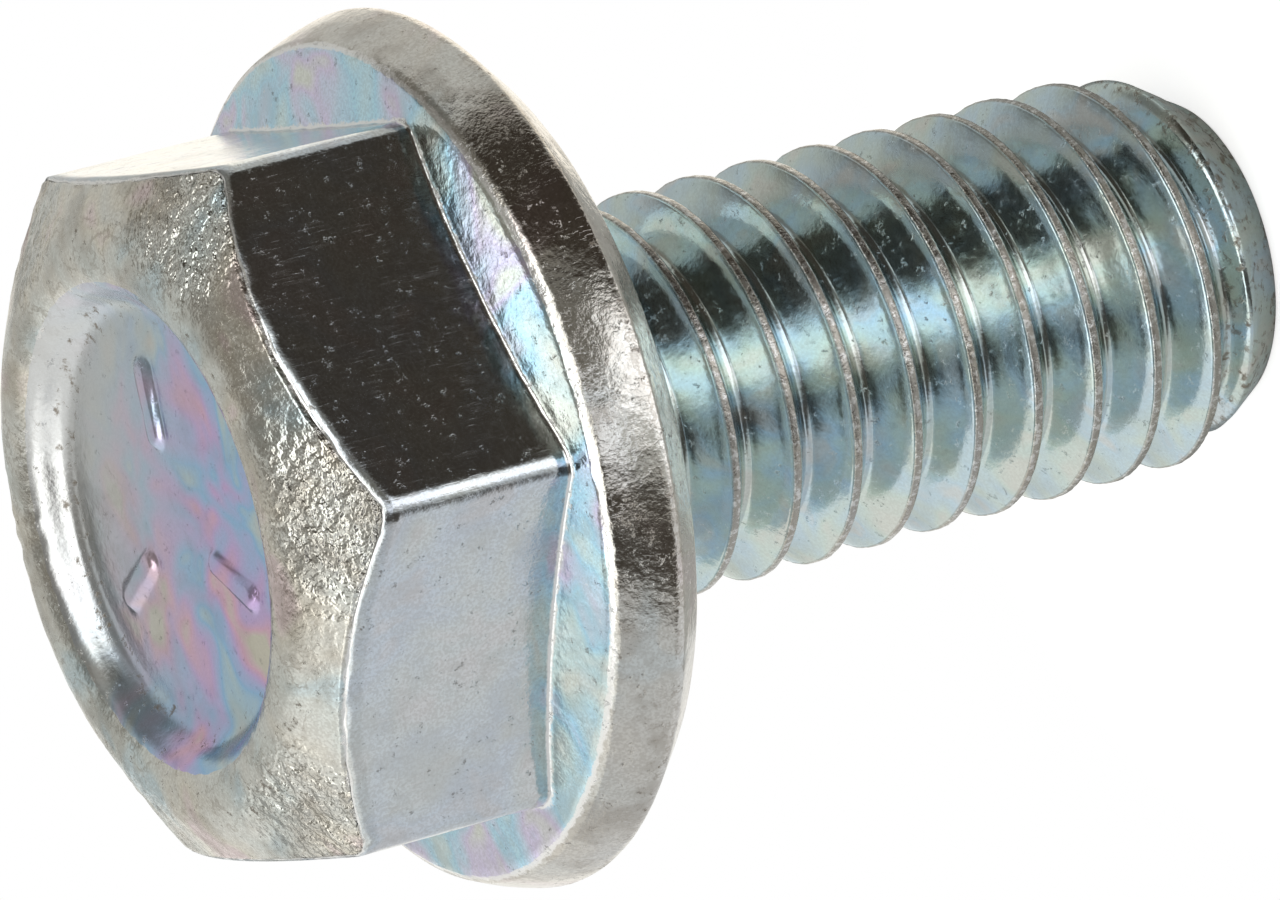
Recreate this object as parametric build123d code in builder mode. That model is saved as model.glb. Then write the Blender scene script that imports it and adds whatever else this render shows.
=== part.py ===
"""M6 x 12 hexagon flange bolt, cold forged and thread rolled from one piece of steel.

The bolt axis is Z and the origin is the centre of the bearing face under the flange.
The head rises to +Z and the threaded shank runs down to -Z, so the bolt stands on its
flat shank end. All lengths are in millimetres and all angles in degrees.
"""

import os
from math import ceil, radians, sqrt, tan

from build123d import *

# Flange
FLANGE_D = 12.8
FLANGE_RIM_TOP = 1.55
FLANGE_RIM_TAPER = 0.35
FLANGE_RIM_ROUND = 0.2
FLANGE_CONE_ANGLE = 12.5
BEARING_EDGE_WIDTH = 0.65
BEARING_EDGE_HEIGHT = 0.6

# Hexagon head, measured from the bearing face
ACROSS_FLATS = 9.78
HEX_CORNER_ROUND = 0.4
HEAD_HEIGHT = 5.6
TOP_CHAMFER_ANGLE = 33.0
TOP_LAND_INSET = 0.74
TOP_LAND_ROUND = 0.3

# Dish in the top of the head
LIP_WIDTH = 0.625
DISH_DEPTH = 0.55
DISH_WALL_RUN = 0.425
DISH_FLOOR_ROUND = 0.2

# Raised radial bars on the dish floor
BAR_COUNT = 3
BAR_LENGTH = 1.3
BAR_WIDTH = 0.36
BAR_HEIGHT = 0.1
BAR_TO_FLOOR_EDGE = 0.75

# Shank
SHANK_LENGTH = 11.8
NECK_INSET = 0.3
NECK_LENGTH = 0.7
NECK_CONE_ANGLE = 30.0
NECK_FILLET = 0.25
POINT_INSET = 0.65
POINT_LENGTH = 1.1

# Rolled right-hand thread: its depth and crest follow from the pitch
THREAD_MAJOR_D = 5.8
THREAD_PITCH = 1.0
THREAD_FLANK_ANGLE = 30.0
THREAD_BELOW_NECK = 0.756
RUN_OUT_ANGLE = 45.0

# The groove cutter stands this far proud of the crest it cuts
CUTTER_PROUD = 0.05

flange_r = FLANGE_D / 2
rim_top_r = flange_r - FLANGE_RIM_TAPER
cone_r = ACROSS_FLATS / 4
cone_rise = (rim_top_r - cone_r) * tan(radians(FLANGE_CONE_ANGLE))

corner_r = ACROSS_FLATS / sqrt(3)
land_r = ACROSS_FLATS / 2 - TOP_LAND_INSET
chamfer_drop = (corner_r - land_r) * tan(radians(TOP_CHAMFER_ANGLE))
dish_r = land_r - LIP_WIDTH
dish_floor_r = dish_r - DISH_WALL_RUN
dish_floor = HEAD_HEIGHT - DISH_DEPTH
bar_centre_r = dish_floor_r - BAR_TO_FLOOR_EDGE - BAR_LENGTH / 2

major_r = THREAD_MAJOR_D / 2
neck_r = major_r - NECK_INSET
neck_cone = NECK_INSET / tan(radians(NECK_CONE_ANGLE))

thread_depth = 0.613 * THREAD_PITCH
crest_flat = THREAD_PITCH / 8
root_r = major_r - thread_depth
flank_spread = tan(radians(THREAD_FLANK_ANGLE))
root_half = (THREAD_PITCH - crest_flat) / 2 - thread_depth * flank_spread
cutter_depth = thread_depth + CUTTER_PROUD
mouth_half = root_half + cutter_depth * flank_spread
thread_top = -NECK_LENGTH - THREAD_BELOW_NECK
thread_turns = ceil((SHANK_LENGTH + thread_top) / THREAD_PITCH + 0.5)
thread_rise = thread_turns * THREAD_PITCH

# The shank is threaded as a longer plain bar, then turned to its neck and its point
with BuildPart() as shank:
    with BuildSketch(Plane.XY.offset(thread_top - thread_rise - THREAD_PITCH)):
        Circle(major_r)
    extrude(amount=FLANGE_RIM_TOP / 2 - thread_top + thread_rise + THREAD_PITCH)

    # Thread groove: whole turns up to thread_top, then a run-out that leaves the steel
    for start_z, rise, spread_angle in (
        (thread_top - thread_rise, thread_rise, 0),
        (thread_top, THREAD_PITCH / 2, RUN_OUT_ANGLE),
    ):
        with BuildLine() as groove_path:
            Helix(
                THREAD_PITCH,
                rise,
                root_r,
                center=(0, 0, start_z),
                cone_angle=spread_angle,
            )
        across_groove = Plane(
            origin=groove_path.line @ 0,
            x_dir=(1, 0, 0),
            z_dir=groove_path.line % 0,
        )
        with BuildSketch(across_groove):
            with BuildLine():
                Polyline(
                    (0, -root_half),
                    (cutter_depth, -mouth_half),
                    (cutter_depth, mouth_half),
                    (0, root_half),
                    close=True,
                )
            make_face()
        sweep(path=groove_path.line, is_frenet=True, mode=Mode.SUBTRACT)

    with BuildSketch(Plane.XZ):
        with BuildLine():
            Polyline(
                (0, FLANGE_RIM_TOP / 2),
                (neck_r, FLANGE_RIM_TOP / 2),
                (neck_r, -NECK_LENGTH),
                (major_r, -NECK_LENGTH - neck_cone),
                (major_r, -SHANK_LENGTH + POINT_LENGTH),
                (major_r - POINT_INSET, -SHANK_LENGTH),
                (0, -SHANK_LENGTH),
                close=True,
            )
        make_face()
    revolve(axis=Axis.Z, mode=Mode.INTERSECT)

with BuildPart() as bolt:
    # Hexagon with rounded corners, trimmed to a conical top
    with BuildSketch(Plane.XY.offset(FLANGE_RIM_TOP / 2)) as hexagon:
        RegularPolygon(radius=ACROSS_FLATS / 2, side_count=6, major_radius=False)
        fillet(hexagon.vertices(), radius=HEX_CORNER_ROUND)
    extrude(amount=HEAD_HEIGHT - FLANGE_RIM_TOP / 2)
    with BuildSketch(Plane.XZ) as envelope:
        with BuildLine():
            Polyline(
                (0, 0),
                (corner_r, 0),
                (corner_r, HEAD_HEIGHT - chamfer_drop),
                (land_r, HEAD_HEIGHT),
                (0, HEAD_HEIGHT),
                close=True,
            )
        make_face()
        land_corner = envelope.vertices().group_by(Axis.Y)[-1].sort_by(Axis.X)[-1]
        fillet(land_corner, radius=TOP_LAND_ROUND)
    revolve(axis=Axis.Z, mode=Mode.INTERSECT)

    # Dish with a sloped wall
    with BuildSketch(Plane.XZ) as dish:
        with BuildLine():
            Polyline(
                (0, dish_floor),
                (dish_floor_r, dish_floor),
                (dish_r, HEAD_HEIGHT),
                (0, HEAD_HEIGHT),
                close=True,
            )
        make_face()
        floor_corner = dish.vertices().group_by(Axis.Y)[0].sort_by(Axis.X)[-1]
        fillet(floor_corner, radius=DISH_FLOOR_ROUND)
    revolve(axis=Axis.Z, mode=Mode.SUBTRACT)

    # Bars standing on the dish floor
    with BuildSketch(Plane.XY.offset(dish_floor)):
        with PolarLocations(bar_centre_r, BAR_COUNT, start_angle=90):
            SlotOverall(BAR_LENGTH, BAR_WIDTH)
    extrude(amount=BAR_HEIGHT)

    # Flange with a tapered rim and a shallow cone that rises under the hexagon
    with BuildSketch(Plane.XZ) as flange:
        with BuildLine():
            Polyline(
                (0, 0),
                (flange_r - BEARING_EDGE_WIDTH, 0),
                (flange_r, BEARING_EDGE_HEIGHT),
                (rim_top_r, FLANGE_RIM_TOP),
                (cone_r, FLANGE_RIM_TOP + cone_rise),
                (0, FLANGE_RIM_TOP + cone_rise),
                close=True,
            )
        make_face()
        rim_corners = flange.vertices().sort_by(Axis.X)[-2:]
        fillet(rim_corners, radius=FLANGE_RIM_ROUND)
    revolve(axis=Axis.Z)

    # Shank, with a round where it meets the bearing face
    add(shank)
    bearing_face = bolt.faces().filter_by(Plane.XY).filter_by_position(Axis.Z, -0.01, 0.01)
    neck_edge = bearing_face.edges().filter_by(GeomType.CIRCLE).sort_by(SortBy.RADIUS)[0]
    fillet(neck_edge, radius=NECK_FILLET)
bolt.part.label = "bolt"

os.makedirs("parts", exist_ok=True)
export_step(bolt.part, "parts/bolt.step")
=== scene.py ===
from math import atan2, cos, pi, radians, sin, sqrt, tan

import bpy
import numpy as np
from mathutils import Matrix, Vector, noise


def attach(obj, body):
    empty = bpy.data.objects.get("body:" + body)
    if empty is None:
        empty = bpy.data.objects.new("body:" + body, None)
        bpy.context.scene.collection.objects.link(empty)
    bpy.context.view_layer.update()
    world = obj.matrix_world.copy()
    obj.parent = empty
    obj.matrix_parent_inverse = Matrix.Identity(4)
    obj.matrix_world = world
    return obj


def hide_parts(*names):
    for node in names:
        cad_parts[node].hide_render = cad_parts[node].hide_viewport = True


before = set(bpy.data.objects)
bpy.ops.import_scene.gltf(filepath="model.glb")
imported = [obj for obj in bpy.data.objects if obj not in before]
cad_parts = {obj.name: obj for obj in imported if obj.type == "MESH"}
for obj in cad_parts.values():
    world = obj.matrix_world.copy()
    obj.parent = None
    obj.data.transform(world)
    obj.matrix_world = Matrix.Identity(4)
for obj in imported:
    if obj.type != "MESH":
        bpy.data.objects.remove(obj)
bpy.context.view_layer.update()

mm = 0.001  # the sizes below are in millimetres, the scene is in metres


# shader helpers

def maths(operation, *values):
    tree = next(value.tree for value in values if isinstance(value, Wire))
    return tree.node("ShaderNodeMath", {"operation": operation}, dict(enumerate(values)))


class Wire:
    # one socket of a node tree; arithmetic on it adds Math nodes
    def __init__(self, tree, socket):
        self.tree = tree
        self.socket = socket

    def __add__(self, other):
        return maths("ADD", self, other)

    def __radd__(self, other):
        return maths("ADD", other, self)

    def __sub__(self, other):
        return maths("SUBTRACT", self, other)

    def __rsub__(self, other):
        return maths("SUBTRACT", other, self)

    def __mul__(self, other):
        return maths("MULTIPLY", self, other)

    def __rmul__(self, other):
        return maths("MULTIPLY", other, self)

class Finish:
    # a material or world tree, with one method that adds any node
    def __init__(self, owner):
        owner.use_nodes = True
        self.owner = owner
        self.tree = owner.node_tree
        self.tree.nodes.clear()

    def node(self, kind, settings=None, inputs=None, output=0):
        made = self.tree.nodes.new(kind)
        for name, value in (settings or {}).items():
            if name == "stops":
                self.setStops(made.color_ramp, value)
            else:
                setattr(made, name, value)
        for name, value in (inputs or {}).items():
            if isinstance(value, Wire):
                self.tree.links.new(value.socket, made.inputs[name])
            else:
                made.inputs[name].default_value = value
        return Wire(self, made.outputs[output] if made.outputs else None)

    def ray(self, kind):
        # 1 on rays of this kind, 0 on others
        path = self.tree.nodes.new("ShaderNodeLightPath")
        return Wire(self, path.outputs[kind])

    def setStops(self, ramp, stops):
        while len(ramp.elements) < len(stops):
            ramp.elements.new(1.0)
        for element, (place, colour) in zip(ramp.elements, stops):
            element.position = place
            element.color = (*colour, 1.0)

    def mix(self, factor, first, second, blend="MIX"):
        colours = [(*c, 1.0) if isinstance(c, tuple) else c for c in (first, second)]
        return self.node(
            "ShaderNodeMix",
            {"data_type": "RGBA", "blend_type": blend, "clamp_factor": True},
            {0: factor, 6: colours[0], 7: colours[1]},
            output=2,
        )

    def between(self, value, low, high):
        # 0 below low, 1 above high, smooth between
        return self.node(
            "ShaderNodeMapRange",
            {"interpolation_type": "SMOOTHSTEP"},
            {0: value, 1: low, 2: high, 3: 0.0, 4: 1.0},
        )


# the bolt's shape

head = {
    "acrossFlats": 9.78,
    "cornerRound": 0.42,
    "top": 5.6,
    "landInset": 0.74,
    "chamferAngle": 33.0,
    "lipWidth": 0.625,
    "dishDepth": 0.55,
    "dishWallRun": 0.425,
    "barCount": 3,
    "barRadius": 1.7,
    "barLength": 1.3,
    "barWidth": 0.36,
    "barHeight": 0.1,
    "barEdge": 0.12,
    "barsFrom": 0.95,
    "barsTo": 2.45,
}
flange = {
    "radius": 6.38,
    "rimTop": 1.55,
    "rimTaper": 0.33,
    "rimBulge": 0.05,
    "bulgeHeight": 1.07,
    "coneAngle": 12.5,
    "edgeWidth": 0.64,
    "edgeHeight": 0.6,
}
shank = {
    "length": 11.8,
    "crestRadius": 2.9,
    "pitch": 1.0,
    "depth": 0.613,
    "crestFlat": 0.125,
    "grooveAtZero": -1.456,
    "runOutTurns": 0.5,
    "neckRadius": 2.6,
    "neckLength": 0.7,
    "neckConeAngle": 30.0,
    "headMeshEnd": -0.45,
    "pointRadius": 2.21,
    "pointLength": 1.1,
    "endBevel": 0.05,
    "endRings": [(2.19, 0.015), (2.13, 0.0), (1.5, 0.0), (0.75, 0.0)],  # radius, lift
}

# small unevenness: depth and size of the lumps, and where the dents beside the corners lie
forging = {
    "chamferDents": 0.07,
    "chamferDentSize": 0.22,
    "dentShareAway": 0.2,
    "cornerReach": 14.0,
    "cornerFade": 1.4,
    "dentsFrom": 3.7,
    "dentsFade": 0.8,
    "flangeWaves": 0.012,
    "flangeWaveSize": 0.6,
    "edgeNicks": 0.05,
    "edgeNickSize": 0.12,
    "edgeDropSize": 0.16,
    "edgeDropsAbove": 3.0,
    "elsewhere": 40.0,
    "crestNicks": 0.02,
    "crestNickSize": 0.13,
    "crestFrom": 0.95,
}


def hexagonRadius(angle):
    # distance from the axis to the hexagon's wall, with rounded corners at every 60 degrees
    apothem = head["acrossFlats"] / 2
    fromCorner = (angle + pi / 6) % (pi / 3) - pi / 6
    centre = (apothem - head["cornerRound"]) / cos(pi / 6)
    tangent = atan2(head["cornerRound"] / 2, centre + head["cornerRound"] * cos(pi / 6))
    if abs(fromCorner) > tangent:
        return apothem / cos(pi / 6 - abs(fromCorner))
    reach = head["cornerRound"] ** 2 - (centre * sin(fromCorner)) ** 2
    return centre * cos(fromCorner) + sqrt(reach)


def boltAngles():
    # every 2 degrees, and closer on the rounded corners of the hexagon
    near = (-3.0, -2.25, -1.5, -0.75, 0.75, 1.5, 2.25, 3.0)
    even = {float(step) for step in range(0, 360, 2)}
    fine = {(corner + offset) % 360 for corner in range(0, 360, 60) for offset in near}
    return [radians(a) for a in sorted(even | fine)]


def headOutline(angle):
    # corners of the section at one angle, from the middle of the dish out and down to the neck:
    # radius, height, round, wear, soil, divisions and finish of the stretch that follows
    wall = hexagonRadius(angle)
    top = head["top"]
    floor = top - head["dishDepth"]
    landRadius = head["acrossFlats"] / 2 - head["landInset"]
    dishRadius = landRadius - head["lipWidth"]
    floorRadius = dishRadius - head["dishWallRun"]
    rimRadius = flange["radius"] - flange["rimTaper"]
    middleRadius = flange["radius"] - flange["rimTaper"] / 2 + flange["rimBulge"]
    chamferEnd = top - (wall - landRadius) * tan(radians(head["chamferAngle"]))
    coneStart = flange["rimTop"] + (rimRadius - wall) * tan(radians(flange["coneAngle"]))
    return [
        (0.0, floor, 0, 0, 0, 4, "dish"),
        (head["barsFrom"], floor, 0, 0, 0, 26, "dish"),
        (head["barsTo"], floor, 0, 0, 0, 3, "dish"),
        (floorRadius, floor, 0.2, 0, 0.5, 3, "dish"),
        (dishRadius, top, 0.28, 0.45, 0.35, 2, "chamfer"),
        (landRadius, top, 0.3, 0.1, 0.4, 12, "chamfer"),
        (wall, chamferEnd, 0.07, 1.0, 0.4, 12, "flats"),
        (wall, coneStart, 0.1, 1.0, 0.35, 7, "cone"),
        (rimRadius, flange["rimTop"], 0.09, 1.0, 0.2, 3, "rim"),
        (middleRadius, flange["bulgeHeight"], 0.25, 0, 0, 3, "rim"),
        (flange["radius"], flange["edgeHeight"], 0.12, 0.3, 0.5, 4, "rim"),
        (flange["radius"] - flange["edgeWidth"], 0.0, 0.06, 0.6, 0.5, 7, "under"),
        (shank["neckRadius"], 0.0, 0.22, 0, 0.4, 2, "under"),
        (shank["neckRadius"], shank["headMeshEnd"], 0, 0, 0, 0, "under"),
    ]


def traceOutline(corners, curveSteps=4):
    # turns the corners into points, with a small curve at each round and even steps between;
    # a point is radius, height, wear, soil, finish
    points = []
    places = [np.array(c[:2]) for c in corners]
    for i, (_, _, rounding, wear, soil, divisions, finish) in enumerate(corners):
        here = places[i]
        if rounding:
            back, onward = places[i - 1] - here, places[i + 1] - here
            before = here + back * rounding / np.linalg.norm(back)
            after = here + onward * rounding / np.linalg.norm(onward)
            for step in range(curveSteps + 1):
                s = step / curveSteps
                radius, z = before * (1 - s) ** 2 + here * 2 * s * (1 - s) + after * s**2
                peak = 1 - abs(2 * s - 1) * 0.75
                name = corners[i - 1][6] if s < 0.5 else finish
                points.append((radius, z, wear * peak, soil, name))
        else:
            after = here
            points.append((*here, wear, soil, finish))
        if i + 1 < len(corners):
            nextRound = corners[i + 1][2]
            gap = places[i + 1] - here
            end = places[i + 1] - gap * nextRound / np.linalg.norm(gap)
            for step in range(1, divisions):
                points.append((*(after + (end - after) * step / divisions), 0.0, 0.0, finish))
    return points


def uneven(x, y, z, size):
    # smooth chance from -1 to 1, whose lumps are about size millimetres
    return noise.noise(Vector((x, y, z)) / size)


def smooth(value):
    s = min(max(value, 0.0), 1.0)
    return s * s * (3 - 2 * s)


def nearCorner(angle, radius):
    # 1 on the chamfer beside a corner of the hexagon, 0 away from it
    toCorner = abs((angle + pi / 6) % (pi / 3) - pi / 6)
    beside = smooth(forging["cornerFade"] - toCorner / radians(forging["cornerReach"]))
    return beside * smooth((radius - forging["dentsFrom"]) / forging["dentsFade"])


def forge(angle, radius, z, wear, finish):
    # small unevenness left by forging and tumbling, always inward
    x, y = radius * cos(angle), radius * sin(angle)
    if finish == "chamfer":
        dented = forging["dentShareAway"] + nearCorner(angle, radius)
        lumps = 1 + uneven(x, y, z, forging["chamferDentSize"])
        z -= forging["chamferDents"] * dented * lumps / 2
    if finish in ("rim", "cone"):
        z -= forging["flangeWaves"] * (1 + uneven(x, y, z, forging["flangeWaveSize"])) / 2
    if wear > 0.3 and z > 0.5:
        radius -= forging["edgeNicks"] * (1 + uneven(x, y, z, forging["edgeNickSize"])) / 2
        if z > forging["edgeDropsAbove"]:
            # read far from the first lumps, so that the two don't match
            lumps = 1 + uneven(x, y, z + forging["elsewhere"], forging["edgeDropSize"])
            z -= forging["edgeNicks"] * lumps / 2
    return radius, z


def barRise(x, y):
    # height of the three rounded bars on the dish floor
    rise = 0.0
    half = (head["barLength"] - head["barWidth"]) / 2
    for bar in range(head["barCount"]):
        turn = radians(90) + 2 * pi * bar / head["barCount"]
        along = x * cos(turn) + y * sin(turn) - head["barRadius"]
        across = -x * sin(turn) + y * cos(turn)
        past = max(abs(along) - half, 0.0)
        distance = sqrt(past**2 + across**2)
        edge = (head["barWidth"] / 2 - distance) / head["barEdge"] + 0.5
        rise = max(rise, head["barHeight"] * smooth(edge))
    return rise


def blankRadius(z):
    # the shank without its thread: neck, cone, full diameter, point
    coneRise = shank["crestRadius"] - shank["neckRadius"]
    coneEnd = shank["neckLength"] + coneRise / tan(radians(shank["neckConeAngle"]))
    pointStart = shank["length"] - shank["pointLength"]
    return np.interp(
        -z,
        [0, shank["neckLength"], coneEnd, pointStart, shank["length"]],
        [shank["neckRadius"]] * 2 + [shank["crestRadius"]] * 2 + [shank["pointRadius"]],
    )


# how much of the thread's depth is cut, by distance from the middle of the groove in pitches,
# and where the rows of the mesh lie on half a pitch
grooveForm = {
    "distance": [0.0, 0.045, 0.0835, 0.12, 0.16, 0.405, 0.43, 0.452, 0.475],
    "cut": [1.0, 0.995, 0.962, 0.884, 0.784, 0.092, 0.03, 0.004, 0.0],
    "rows": [0, 0.045, 0.083, 0.12, 0.16, 0.24, 0.32, 0.40, 0.43, 0.452, 0.475, 0.5],
}


def threadRadius(angle, z):
    pitch = shank["pitch"]
    turns = (z - shank["grooveAtZero"]) / pitch - angle / (2 * pi)
    rootRadius = shank["crestRadius"] - shank["depth"]
    radius = blankRadius(z)
    nearest = round(turns)
    for turn in (nearest - 1, nearest, nearest + 1):
        if turn > 0 or (turn == 0 and angle > pi * 2 * shank["runOutTurns"]):
            continue
        rise = pitch * angle / (2 * pi) if turn == 0 else 0.0
        cut = np.interp(abs(turns - turn), grooveForm["distance"], grooveForm["cut"])
        radius = min(radius, rootRadius + rise + shank["depth"] * (1 - cut))
    return radius


def boltMesh():
    angles = boltAngles()
    count = len(angles)
    vertices, faces, finishes = [], [], []
    marks = {"wear": [], "soil": [], "height": []}

    def addVertex(angle, radius, z, wear=0.0, soil=0.0, height=0.0):
        vertices.append((radius * cos(angle), radius * sin(angle), z))
        for name, value in (("wear", wear), ("soil", soil), ("height", height)):
            marks[name].append(value)
        return len(vertices) - 1

    def addFace(corners, finish):
        unique = []
        for corner in corners:
            if corner not in unique:
                unique.append(corner)
        if len(unique) > 2:
            faces.append(unique)
            finishes.append(finish)

    # head and flange: one column of points for each angle
    columns = []
    for angle in angles:
        points = traceOutline(headOutline(angle))
        names = [point[4] for point in points]
        column = [0]
        if not vertices:
            addVertex(angle, 0.0, points[0][1])
        for radius, z, wear, soil, name in points[1:]:
            if name == "dish":
                z += barRise(radius * cos(angle), radius * sin(angle))
            radius, z = forge(angle, radius, z, wear, name)
            dent = nearCorner(angle, radius) if name == "chamfer" else 0.0
            column.append(addVertex(angle, radius, z, wear, soil, dent))
        columns.append(column)
    for j in range(count):
        here, there = columns[j], columns[(j + 1) % count]
        for i in range(len(here) - 1):
            addFace((here[i], here[i + 1], there[i + 1], there[i]), names[i])

    # thread: rows follow the helix, and stop at the neck above and at the point below
    pitch = shank["pitch"]
    rootRadius = shank["crestRadius"] - shank["depth"]
    steps = grooveForm["rows"] + [1 - s for s in reversed(grooveForm["rows"][1:-1])]
    perTurn = len(steps)
    upper = shank["headMeshEnd"]
    lower = -shank["length"] + shank["endBevel"]
    margin = 0.002
    firstTurn = int((lower - shank["grooveAtZero"]) / pitch) - 3
    lastTurn = 2
    rows = [(turn + s) * pitch for turn in range(firstTurn, lastTurn) for s in steps]
    endEdge = [addVertex(a, threadRadius(a, lower), lower, 0.5, 0.6) for a in angles]
    grid = []
    for j, angle in enumerate(angles):
        column = []
        for row in rows:
            z = shank["grooveAtZero"] + row + pitch * angle / (2 * pi)
            if z >= upper - margin:
                column.append(columns[j][-1])
            elif z <= lower + margin:
                column.append(endEdge[j])
            else:
                radius = threadRadius(angle, z)
                height = (radius - rootRadius) / shank["depth"]
                pastPoint = -z - shank["length"] + shank["pointLength"]
                soil = 0.6 * smooth(pastPoint / 0.15)
                if height > forging["crestFrom"]:
                    x, y = radius * cos(angle), radius * sin(angle)
                    lumps = 1 + uneven(x, y, z, forging["crestNickSize"])
                    radius -= forging["crestNicks"] * lumps / 2
                column.append(addVertex(angle, radius, z, 0.0, soil, height))
        grid.append(column)
    for j in range(count):
        shift = 0 if j + 1 < count else perTurn
        here, there = grid[j], grid[(j + 1) % count]
        for i in range(len(rows) - 1 - shift):
            corners = (here[i + 1], here[i], there[i + shift], there[i + 1 + shift])
            addFace(corners, "shank")

    # end face
    rings = [endEdge]
    for radius, lift in shank["endRings"]:
        rings.append([addVertex(a, radius, lift - shank["length"], 0.0, 0.3) for a in angles])
    middle = addVertex(0.0, 0.0, -shank["length"])
    for outer, inner in zip(rings, rings[1:] + [[middle] * count]):
        for j in range(count):
            k = (j + 1) % count
            addFace((outer[j], inner[j], inner[k], outer[k]), "end")
    return vertices, faces, finishes, marks


def makeBolt():
    vertices, faces, finishes, marks = boltMesh()
    mesh = bpy.data.meshes.new("flangeBolt")
    mesh.from_pydata([tuple(c * mm for c in v) for v in vertices], [], faces)
    names = list(zinc)
    for name in names:
        mesh.materials.append(zincFinish(name))
    mesh.polygons.foreach_set("material_index", [names.index(f) for f in finishes])
    for name, values in marks.items():
        mesh.attributes.new(name, "FLOAT", "POINT").data.foreach_set("value", values)
    mesh.shade_smooth()
    mesh.validate()
    bolt = bpy.data.objects.new("flangeBolt", mesh)
    bpy.context.scene.collection.objects.link(bolt)
    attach(bolt, "root")
    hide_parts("bolt")
    print("bolt:", len(mesh.polygons), "faces")


# zinc plating: one recipe, with its own amounts for each stretch of the surface
# steel is the plain colour; tint, grime, grain, scratch and flecks run from 0 to 1;
# tintSize is in millimetres, and wave, hammer, grit and pit are depths of relief in millimetres
zinc = {
    "dish": {
        "steel": (0.69, 0.70, 0.70),
        "tint": 1.0,
        "tintSize": 0.8,
        "stops": "pastel",
        "grime": 0.16,
        "grain": 0.18,
        "scratch": 0.0,
        "flecks": 0.12,
        "roughness": 0.21,
        "wave": 0.02,
        "hammer": 0.002,
        "grit": 0.001,
        "pit": 0.004,
    },
    "chamfer": {
        "steel": (0.80, 0.80, 0.775),
        "tint": 0.95,
        "tintSize": 0.8,
        "stops": "warm",
        "grime": 0.5,
        "grain": 0.65,
        "scratch": 0.2,
        "flecks": 0.35,
        "roughness": 0.18,
        "wave": 0.05,
        "hammer": 0.012,
        "grit": 0.0025,
        "pit": 0.01,
    },
    "flats": {
        "steel": (0.74, 0.75, 0.765),
        "tint": 0.35,
        "tintSize": 0.7,
        "stops": "cool",
        "grime": 0.16,
        "grain": 0.6,
        "scratch": 0.45,
        "flecks": 0.15,
        "roughness": 0.14,
        "wave": 0.012,
        "hammer": 0.004,
        "grit": 0.0012,
        "pit": 0.0028,
    },
    "cone": {
        "steel": (0.84, 0.88, 0.89),
        "tint": 1.0,
        "tintSize": 0.8,
        "stops": "sky",
        "grime": 0.2,
        "grain": 0.5,
        "scratch": 0.0,
        "flecks": 0.4,
        "roughness": 0.12,
        "wave": 0.012,
        "hammer": 0.01,
        "grit": 0.002,
        "pit": 0.01,
    },
    "rim": {
        "steel": (0.76, 0.745, 0.71),
        "tint": 0.4,
        "tintSize": 0.9,
        "stops": "warm",
        "grime": 0.5,
        "grain": 0.7,
        "scratch": 0.25,
        "flecks": 0.5,
        "roughness": 0.11,
        "wave": 0.03,
        "hammer": 0.006,
        "grit": 0.0025,
        "pit": 0.01,
    },
    "under": {
        "steel": (0.70, 0.73, 0.74),
        "tint": 0.8,
        "tintSize": 0.8,
        "stops": "cool",
        "grime": 0.3,
        "grain": 0.5,
        "scratch": 0.0,
        "flecks": 0.3,
        "roughness": 0.2,
        "wave": 0.03,
        "hammer": 0.006,
        "grit": 0.002,
        "pit": 0.008,
    },
    "shank": {
        "steel": (0.68, 0.715, 0.705),
        "tint": 0.75,
        "tintSize": 0.6,
        "stops": "cool",
        "grime": 0.12,
        "grain": 0.3,
        "scratch": 0.0,
        "flecks": 0.15,
        "roughness": 0.15,
        "wave": 0.015,
        "hammer": 0.002,
        "grit": 0.001,
        "pit": 0.005,
    },
    "end": {
        "steel": (0.70, 0.68, 0.63),
        "tint": 0.3,
        "tintSize": 0.8,
        "stops": "warm",
        "grime": 0.6,
        "grain": 0.8,
        "scratch": 0.0,
        "flecks": 0.3,
        "roughness": 0.33,
        "wave": 0.05,
        "hammer": 0.015,
        "grit": 0.004,
        "pit": 0.01,
    },
}
passivation = {
    "pastel": [
        (0.30, (1.02, 1.02, 0.95)),
        (0.38, (0.80, 1.03, 1.12)),
        (0.44, (0.54, 0.90, 1.30)),
        (0.50, (0.76, 0.85, 1.28)),
        (0.56, (0.98, 0.74, 1.20)),
        (0.62, (1.22, 0.76, 0.98)),
        (0.69, (1.08, 1.02, 0.86)),
    ],
    "sky": [
        (0.30, (1.02, 1.02, 0.95)),
        (0.40, (0.86, 1.05, 1.08)),
        (0.47, (0.68, 1.00, 1.20)),
        (0.54, (0.86, 0.97, 1.14)),
        (0.60, (0.98, 0.86, 1.10)),
        (0.67, (1.03, 1.02, 0.94)),
    ],
    "cool": [
        (0.32, (1.03, 1.02, 0.95)),
        (0.42, (0.93, 1.06, 1.00)),
        (0.50, (0.86, 1.04, 1.10)),
        (0.58, (0.80, 1.02, 1.20)),
        (0.66, (0.96, 1.00, 1.04)),
    ],
    "warm": [
        (0.32, (0.84, 1.00, 1.08)),
        (0.40, (0.97, 1.02, 1.00)),
        (0.50, (1.01, 1.01, 0.97)),
        (0.60, (1.05, 1.00, 0.90)),
        (0.68, (1.10, 0.92, 0.95)),
    ],
}
dishTint = {"toward": 216, "from": -3.4, "to": 1.6}  # degrees, millimetres
dentDepth = 0.14  # millimetres, beside the corners of the hexagon
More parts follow.
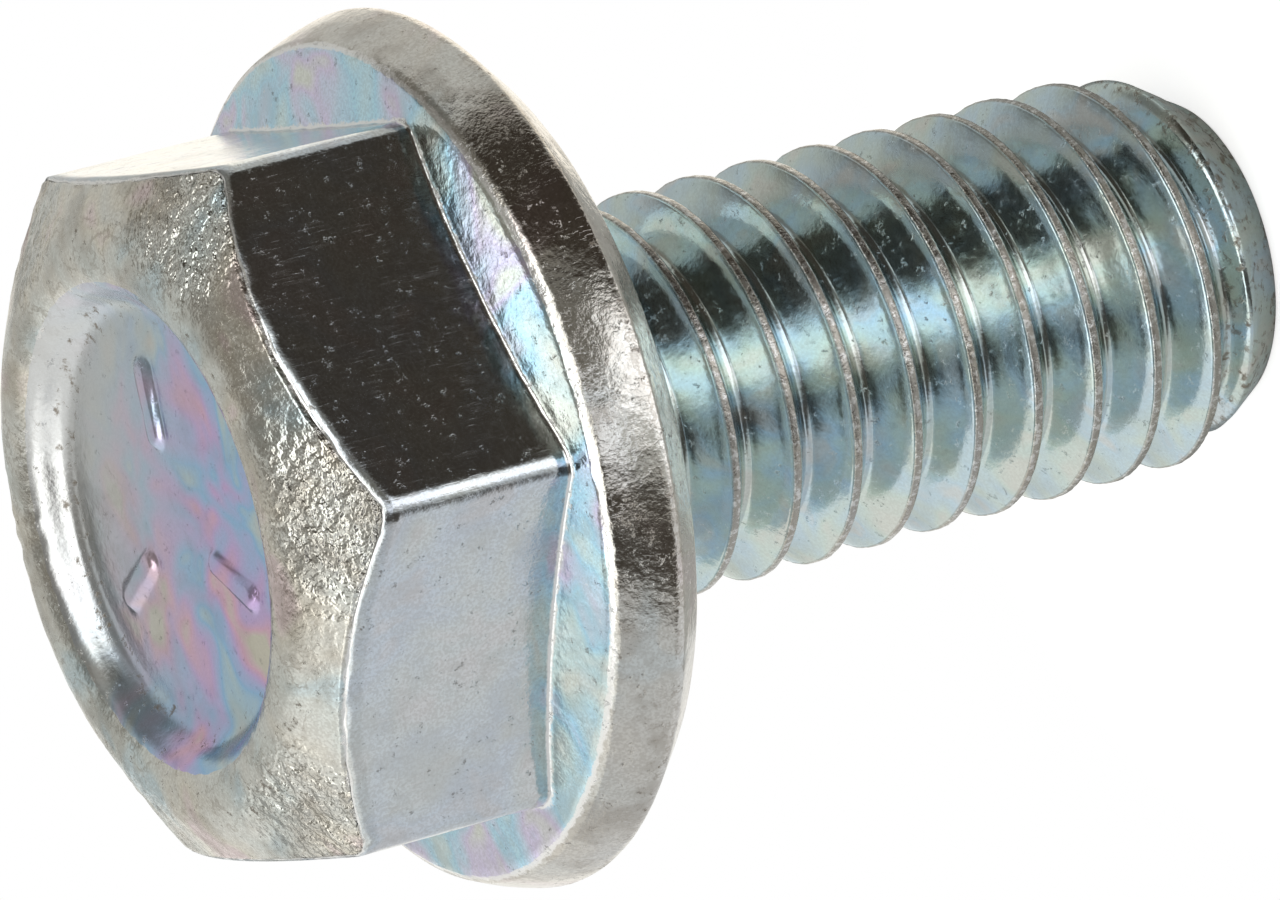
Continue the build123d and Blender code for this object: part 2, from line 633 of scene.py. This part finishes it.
# sizes of the clouds in millimetres, and the levels between which each mark fades in
marksOnZinc = {
    "fineSize": 0.022,
    "coarseSize": 0.09,
    "broadSize": 0.55,
    "veinSize": 0.3,
    "streakSize": 0.02,
    "streakPatchSize": 0.4,
    "hammerSize": 0.08,
    "raggedSize": 0.06,
    "grain": (0.62, 0.38),
    "pitPatches": (0.60, 0.68),
    "pitGrains": (0.42, 0.55),
    "fleckPatches": (0.40, 0.32),
    "fleckGrains": (0.5, 0.6),
    "speck": (0.86, 1.1),
    "grimePatches": (0.48, 0.62),
    "veins": (0.03, 0.006),
    "veinPatches": (0.46, 0.56),
    "edgeSoil": (0.55, 0.95),
    "streaks": (0.57, 0.66),
    "streakPatches": (0.42, 0.58),
    "worn": (0.45, 0.75),
    "crest": (0.94, 1.0),
    "ragged": (0.5, 0.6),
}
soilColours = {
    "grime": (0.26, 0.215, 0.165),
    "pit": (0.14, 0.12, 0.10),
    "bright": (0.95, 0.94, 0.92),
    "crest": (0.40, 0.36, 0.31),
}


def zincFinish(name):
    amounts = zinc[name]
    finish = Finish(bpy.data.materials.new("zinc " + name))
    place = finish.node("ShaderNodeTexCoord", output=3)
    inMm = finish.node("ShaderNodeVectorMath", {"operation": "SCALE"}, {0: place, 3: 1 / mm})

    def cloud(size, detail=3.0, stretch=(1, 1, 1), rough=0.55, warp=0.0):
        # noise whose lumps are about size millimetres
        scaled = finish.node(
            "ShaderNodeVectorMath", {"operation": "MULTIPLY"}, {0: inMm, 1: stretch}
        )
        return finish.node(
            "ShaderNodeTexNoise",
            {},
            {
                "Vector": scaled,
                "Scale": 0.5 / size,
                "Detail": detail,
                "Roughness": rough,
                "Distortion": warp,
            },
        )

    def attribute(label):
        return finish.node("ShaderNodeAttribute", {"attribute_name": label}, output=2)

    def fade(value, mark):
        return finish.between(value, *marksOnZinc[mark])

    wear = attribute("wear")
    soil = attribute("soil")
    fine = cloud(marksOnZinc["fineSize"], 2.0)
    coarse = cloud(marksOnZinc["coarseSize"], 4.0, rough=0.7)
    broad = cloud(marksOnZinc["broadSize"], 4.0, rough=0.6)

    # passivation colours over the plain steel
    hue = cloud(amounts["tintSize"], 2.0, warp=0.5)
    stops = passivation[amounts["stops"]]
    tints = finish.node("ShaderNodeValToRGB", {"stops": stops}, {0: hue})
    strength = amounts["tint"]
    if name == "dish":
        turn = radians(dishTint["toward"])
        across = finish.node(
            "ShaderNodeVectorMath",
            {"operation": "DOT_PRODUCT"},
            {0: inMm, 1: (cos(turn), sin(turn), 0.0)},
            output=1,
        )
        strength = strength * finish.between(across, dishTint["from"], dishTint["to"])
    plain = finish.mix(strength, (1.0, 1.0, 1.0), tints)
    colour = finish.mix(1.0, amounts["steel"], plain, "MULTIPLY")

    # fine grain, dark pits and bright flecks
    colour = finish.mix(
        fade(fine + (coarse - 0.5) * 0.5, "grain") * amounts["grain"] * 0.35,
        colour,
        soilColours["grime"],
    )
    pits = fade(coarse, "pitPatches") * fade(fine, "pitGrains")
    flecks = fade(coarse, "fleckPatches") * fade(fine, "fleckGrains")
    colour = finish.mix(pits * amounts["grain"], colour, soilColours["pit"])
    colour = finish.mix(flecks * amounts["flecks"], colour, soilColours["bright"])

    # brown grime in patches, and thicker along the soiled edges
    speck = fade(fine + coarse, "speck")
    patchy = fade(broad, "grimePatches") * amounts["grime"] * (speck * 0.6 + 0.3)
    veins = fade(maths("ABSOLUTE", cloud(marksOnZinc["veinSize"], 4.0, rough=0.6) - 0.5), "veins")
    veins = veins * fade(broad + soil * 0.3, "veinPatches") * amounts["grime"] * 0.7
    edgeSoil = fade(soil + (coarse - 0.5) * 2.2, "edgeSoil") * (speck * 0.4 + 0.45)
    grime = maths("MAXIMUM", maths("MAXIMUM", patchy, edgeSoil), veins)
    colour = finish.mix(grime, colour, soilColours["grime"])

    # drawn scratches along the axis
    streaks = cloud(marksOnZinc["streakSize"], 2.0, stretch=(1, 1, 0.07))
    patches = cloud(marksOnZinc["streakPatchSize"], 3.0)
    scratch = fade(streaks, "streaks") * fade(patches, "streakPatches") * amounts["scratch"]
    colour = finish.mix(scratch * 0.35, colour, soilColours["bright"])

    # worn edges show bright metal
    worn = fade(wear + (coarse - 0.5) * 1.6, "worn")
    colour = finish.mix(worn * 0.85, colour, soilColours["bright"])
    roughness = amounts["roughness"] + (coarse - 0.5) * 0.2 + grime * 0.25 + scratch * 0.15

    # relief, with its height in millimetres
    hammered = cloud(marksOnZinc["hammerSize"], 2.0, rough=0.5)
    depth = amounts["hammer"]
    if name == "chamfer":
        depth = attribute("height") * dentDepth + depth
    relief = hammered * depth + fine * amounts["grit"] + broad * amounts["wave"]
    relief = relief - (pits + scratch * 0.5) * amounts["pit"] + grime * fine * 0.006
    if name == "shank":
        crest = fade(attribute("height"), "crest")
        ragged = fade(cloud(marksOnZinc["raggedSize"], 3.0, rough=0.7), "ragged")
        crestColour = finish.mix(ragged * 0.6, soilColours["crest"], soilColours["bright"])
        colour = finish.mix(crest * 0.85, colour, crestColour)
        roughness = roughness + crest * 0.12
        relief = relief + crest * coarse * 0.03
    bump = finish.node("ShaderNodeBump", {}, {"Strength": 1.0, "Distance": mm, "Height": relief})
    shader = finish.node(
        "ShaderNodeBsdfPrincipled",
        {},
        {"Base Color": colour, "Metallic": 1.0, "Roughness": roughness, "Normal": bump},
    )
    finish.node("ShaderNodeOutputMaterial", {}, {"Surface": shader})
    return finish.owner


makeBolt()


# camera

# millimetres and degrees, but metres for what is nearest and farthest
lens = {
    "aim": (-1.013, -0.566, -1.800),
    "azimuth": -113.568,
    "elevation": 27.168,
    "roll": -104.822,
    "distance": 218.158,
    "focalLength": 435.15,
    "sensorWidth": 36,
    "nearest": 0.01,
    "farthest": 10,
}


def makeCamera():
    camera = bpy.data.objects.new("camera", bpy.data.cameras.new("camera"))
    bpy.context.scene.collection.objects.link(camera)
    azimuth, elevation = radians(lens["azimuth"]), radians(lens["elevation"])
    back = Vector((cos(azimuth) * cos(elevation), sin(azimuth) * cos(elevation), sin(elevation)))
    facing = (-back).to_track_quat("-Z", "Y").to_matrix()
    turn = facing @ Matrix.Rotation(radians(lens["roll"]), 3, "Z")
    camera.matrix_world = Matrix.LocRotScale(
        (Vector(lens["aim"]) + back * lens["distance"]) * mm, turn, None
    )
    camera.data.lens = lens["focalLength"]
    camera.data.sensor_width = lens["sensorWidth"]
    camera.data.clip_start = lens["nearest"]
    camera.data.clip_end = lens["farthest"]
    bpy.context.scene.camera = camera
    print("camera set")
    return turn


cameraTurn = makeCamera()


# studio: a pale floor under a sky of soft boxes and dark flags, placed round the camera

softBoxes = [
    # azimuth from and to, elevation from and to, softness in degrees, colour
    (-180, 180, -90, -42, 10, (0.60, 0.61, 0.62)),
    (-178, -42, -90, -30, 16, (0.88, 0.88, 0.86)),
    (-96, -54, -26, 16, 8, (0.24, 0.23, 0.21)),
    (66, 180, -50, 0, 12, (0.70, 0.71, 0.73)),
    (-24, 66, -42, -12, 7, (0.07, 0.062, 0.054)),
    (-70, 122, 35, 100, 7, (0.05, 0.042, 0.034)),
    (-112, -58, 20, 62, 12, (0.20, 0.19, 0.17)),
    (-20, 16, 4, 36, 7, (0.18, 0.17, 0.15)),
    (14, 118, 3, 29, 6, (1.6, 1.6, 1.64)),
    (-14, 16, -12, 5, 6, (1.15, 1.17, 1.24)),
    (-60, -16, -64, -40, 8, (1.25, 1.25, 1.22)),
    (-52, -22, -42, 8, 6, (2.0, 2.0, 1.96)),
    (-52, -26, 8, 28, 4, (2.0, 2.0, 1.96)),
    (134, 190, 0, 50, 8, (1.25, 1.18, 1.06)),
    (165, 200, -30, 0, 10, (1.0, 0.99, 0.95)),
]
surround = (0.56, 0.56, 0.54)


def makeStudio():
    world = bpy.data.worlds.new("studio")
    bpy.context.scene.world = world
    studio = Finish(world)
    way = studio.node("ShaderNodeTexCoord", output=0)

    def along(axis):
        return studio.node(
            "ShaderNodeVectorMath", {"operation": "DOT_PRODUCT"}, {0: way, 1: axis}, output=1
        )

    right, up, back = (along(tuple(cameraTurn.col[k])) for k in range(3))
    azimuth = maths("DEGREES", maths("ARCTAN2", right, back))
    elevation = maths("DEGREES", maths("ARCSINE", up))
    light = surround
    for fromA, toA, fromE, toE, soft, colour in softBoxes:
        middle, half = (fromA + toA) / 2, (toA - fromA) / 2
        aside = maths("MODULO", azimuth - middle + 540, 360.0) - 180
        inside = studio.between(maths("ABSOLUTE", aside), half + soft, half - soft)
        inside = inside * studio.between(elevation, fromE - soft, fromE + soft)
        inside = inside * studio.between(elevation, toE + soft, toE - soft)
        light = studio.mix(inside, light, colour)
    boxes = studio.node("ShaderNodeBackground", {}, {"Color": light, "Strength": 1.0})
    white = studio.node("ShaderNodeBackground", {}, {"Color": (1, 1, 1, 1), "Strength": 1.0})
    plain = studio.ray("Is Camera Ray") + studio.ray("Is Transmission Ray")
    sky = studio.node("ShaderNodeMixShader", {}, {0: plain, 1: boxes, 2: white})
    studio.node("ShaderNodeOutputWorld", {}, {"Surface": sky})
    print("studio:", len(softBoxes), "soft boxes and flags")


floorSize = {"radius": 9.0, "glow": 0.72, "paint": (0.7, 0.7, 0.69)}


def makeFloor():
    bpy.ops.mesh.primitive_circle_add(
        vertices=96,
        radius=floorSize["radius"] * mm,
        fill_type="NGON",
        location=(0, 0, -shank["length"] * mm),
    )
    floor = bpy.context.object
    floor.name = "floor"
    finish = Finish(bpy.data.materials.new("pale floor"))
    shown = finish.ray("Is Camera Ray") + finish.ray("Is Transmission Ray")
    dark = finish.node("ShaderNodeEmission", {}, {"Strength": 0.0})
    glow = finish.node("ShaderNodeEmission", {}, {"Strength": floorSize["glow"]})
    lit = finish.node("ShaderNodeMixShader", {}, {0: shown, 1: dark, 2: glow})
    paint = finish.node("ShaderNodeBsdfDiffuse", {}, {"Color": (*floorSize["paint"], 1.0)})
    both = finish.node("ShaderNodeAddShader", {}, {0: lit, 1: paint})
    finish.node("ShaderNodeOutputMaterial", {}, {"Surface": both})
    floor.data.materials.append(finish.owner)
    print("floor set")


makeStudio()
makeFloor()
bpy.context.scene.view_settings.view_transform = "Standard"
